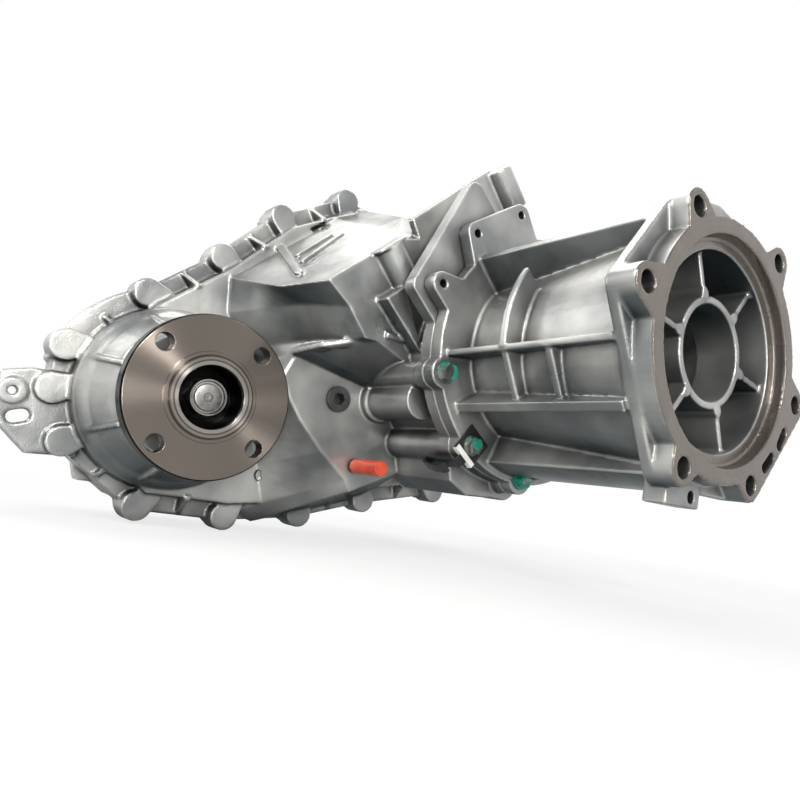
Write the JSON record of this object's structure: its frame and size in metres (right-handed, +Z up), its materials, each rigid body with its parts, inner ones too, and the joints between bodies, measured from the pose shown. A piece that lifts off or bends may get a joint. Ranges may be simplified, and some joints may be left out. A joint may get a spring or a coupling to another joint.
{
  "type": "transfer case",
  "caption": "Two-speed chain-drive transfer case: ribbed adapter housing with open gearbox flange, domed chain case and round companion flanges front and rear.",
  "frame": {"origin": "centre of the gearbox pilot bore, in the plane of the gearbox flange face", "axes": "+X along the main shaft, out of the gearbox face; +Z up; +Y completes the frame, away from the front output"},
  "size_m": [0.5645, 0.5145, 0.3756],
  "materials": {
    "cast_aluminium": "as-cast",
    "turned_steel": "turned",
    "machined_steel": "ground",
    "bearing_steel": "polished",
    "seal_rubber": "matt",
    "fork_aluminium": "as-cast",
    "zinc_bolt": "zinc plated",
    "black_plug": "black oxide",
    "orange_cap": "moulded"
  },
  "bodies": {
    "case": {"adapter_bolts": "zinc_bolt", "adapter_housing": "cast_aluminium", "blanking_plug": "black_plug", "breather_cap": "orange_cap", "breather_stem": "zinc_bolt", "case_bolts": "zinc_bolt", "drain_plug": "black_plug", "drive_chain": "machined_steel", "extension_bolts": "zinc_bolt", "filler_plug": "black_plug", "front_case": "cast_aluminium", "front_output_bearing": "bearing_steel", "front_output_seal": "seal_rubber", "front_tail_bearing": "bearing_steel", "harness_clip": "black_plug", "input_bearing": "bearing_steel", "input_seal": "seal_rubber", "main_shaft_bearing": "bearing_steel", "motor_bolts": "zinc_bolt", "oil_pump": "cast_aluminium", "rear_case": "cast_aluminium", "rear_extension": "cast_aluminium", "rear_output_seal": "seal_rubber", "ring_gear": "machined_steel", "shift_motor": "cast_aluminium", "shift_rail": "machined_steel"},
    "input": {"input_shaft": "machined_steel"},
    "carrier": {"planet_carrier": "machined_steel", "planet_pins": "machined_steel"},
    "planet_1": {"planet_gear_1": "machined_steel"},
    "planet_2": {"planet_gear_2": "machined_steel"},
    "planet_3": {"planet_gear_3": "machined_steel"},
    "planet_4": {"planet_gear_4": "machined_steel"},
    "main": {"main_shaft": "machined_steel", "rear_flange": "turned_steel", "rear_flange_nut": "machined_steel"},
    "range_collar": {"range_sleeve": "machined_steel"},
    "mode_collar": {"mode_sleeve": "machined_steel"},
    "chain_drive": {"drive_sprocket": "machined_steel"},
    "front_output": {"front_output_shaft": "machined_steel", "driven_sprocket": "machined_steel", "front_flange": "turned_steel", "front_flange_nut": "machined_steel"},
    "range_shift": {"range_fork": "fork_aluminium"},
    "mode_shift": {"mode_fork": "fork_aluminium"},
    "cam": {"shift_cam": "machined_steel"}
  },
  "joints": [
    {"name": "main_spin", "type": "hinge", "parent": "case", "child": "main", "pos_m": [0, 0, 0], "axis": [1, 0, 0], "continuous": true},
    {"name": "input_spin", "type": "hinge", "parent": "case", "child": "input", "pos_m": [0, 0, 0], "axis": [1, 0, 0], "continuous": true},
    {"name": "carrier_spin", "type": "hinge", "parent": "case", "child": "carrier", "pos_m": [0, 0, 0], "axis": [1, 0, 0], "continuous": true},
    {"name": "planet_1_spin", "type": "hinge", "parent": "carrier", "child": "planet_1", "pos_m": [0, 0, 0.055], "axis": [1, 0, 0], "continuous": true},
    {"name": "planet_2_spin", "type": "hinge", "parent": "carrier", "child": "planet_2", "pos_m": [0, -0.055, 0], "axis": [1, 0, 0], "continuous": true},
    {"name": "planet_3_spin", "type": "hinge", "parent": "carrier", "child": "planet_3", "pos_m": [0, 0, -0.055], "axis": [1, 0, 0], "continuous": true},
    {"name": "planet_4_spin", "type": "hinge", "parent": "carrier", "child": "planet_4", "pos_m": [0, 0.055, 0], "axis": [1, 0, 0], "continuous": true},
    {"name": "chain_drive_spin", "type": "hinge", "parent": "case", "child": "chain_drive", "pos_m": [0, 0, 0], "axis": [1, 0, 0], "continuous": true},
    {"name": "front_output_spin", "type": "hinge", "parent": "case", "child": "front_output", "pos_m": [0, -0.24747, -0.08088], "axis": [1, 0, 0], "continuous": true},
    {"name": "range_fork_slide", "type": "slide", "parent": "case", "child": "range_shift", "axis": [1, 0, 0], "range_m": [-0.014, 0]},
    {"name": "range_sleeve_slide", "type": "slide", "parent": "main", "child": "range_collar", "axis": [1, 0, 0], "range_m": [-0.014, 0]},
    {"name": "mode_fork_slide", "type": "slide", "parent": "case", "child": "mode_shift", "axis": [1, 0, 0], "range_m": [0, 0.014]},
    {"name": "mode_sleeve_slide", "type": "slide", "parent": "main", "child": "mode_collar", "axis": [1, 0, 0], "range_m": [0, 0.014]},
    {"name": "shift_cam_turn", "type": "hinge", "parent": "case", "child": "cam", "pos_m": [0, 0.074, 0.064], "axis": [1, 0, 0], "range_deg": [-91, 0]}
  ],
  "couplings": [
    {"joint": "input_spin", "follows": "main_spin", "ratio": 1},
    {"joint": "carrier_spin", "follows": "main_spin", "ratio": 0.375},
    {"joint": "planet_1_spin", "follows": "main_spin", "ratio": -1.875},
    {"joint": "planet_2_spin", "follows": "main_spin", "ratio": -1.875},
    {"joint": "planet_3_spin", "follows": "main_spin", "ratio": -1.875},
    {"joint": "planet_4_spin", "follows": "main_spin", "ratio": -1.875},
    {"joint": "chain_drive_spin", "follows": "main_spin", "ratio": 1},
    {"joint": "front_output_spin", "follows": "main_spin", "ratio": 1},
    {"joint": "range_sleeve_slide", "follows": "range_fork_slide", "ratio": 1},
    {"joint": "mode_sleeve_slide", "follows": "mode_fork_slide", "ratio": 1},
    {"joint": "shift_cam_turn", "follows": "range_fork_slide", "rad_per_m": 112.2}
  ]
}
